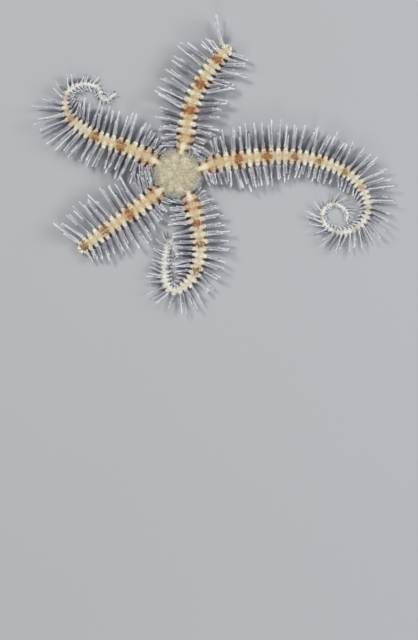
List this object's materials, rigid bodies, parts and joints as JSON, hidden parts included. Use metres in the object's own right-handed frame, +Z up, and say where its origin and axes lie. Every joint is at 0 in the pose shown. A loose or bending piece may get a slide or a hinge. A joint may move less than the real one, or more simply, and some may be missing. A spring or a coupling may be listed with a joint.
{
  "type": "brittle star",
  "caption": "Brittle star lying flat, its slender arms curling away from a low domed disc and edged with long thin spines; a still model of the whole animal.",
  "frame": {"origin": "on the floor under the middle of the disc, where the five jaws meet", "axes": "+Z up, away from the floor; +X roughly along the root of the longest arm; +Y away from the lower arms, as the picture's top"},
  "size_m": [0.09, 0.0734, 0.0057],
  "materials": {
    "disc_skin": "sandy tan granular skin",
    "jaw_plates": "cream limy plates",
    "arm_skin": "cream plates with orange bands, thin glassy spines"
  },
  "bodies": {
    "root": {"disc": "disc_skin", "mouth": "jaw_plates", "arm_upper_1": "arm_skin", "arm_upper_2": "arm_skin", "arm_upper_3": "arm_skin", "arm_right_1": "arm_skin", "arm_right_2": "arm_skin", "arm_right_3": "arm_skin", "arm_right_4": "arm_skin", "arm_right_5": "arm_skin", "arm_right_6": "arm_skin", "arm_right_7": "arm_skin", "arm_right_8": "arm_skin", "arm_right_9": "arm_skin", "arm_right_10": "arm_skin", "arm_upper_left_1": "arm_skin", "arm_upper_left_2": "arm_skin", "arm_upper_left_3": "arm_skin", "arm_upper_left_4": "arm_skin", "arm_upper_left_5": "arm_skin", "arm_upper_left_6": "arm_skin", "arm_upper_left_7": "arm_skin", "arm_lower_left_1": "arm_skin", "arm_lower_left_2": "arm_skin", "arm_lower_1": "arm_skin", "arm_lower_2": "arm_skin", "arm_lower_3": "arm_skin", "arm_lower_4": "arm_skin", "arm_lower_5": "arm_skin", "arm_lower_6": "arm_skin"}
  },
  "joints": []
}
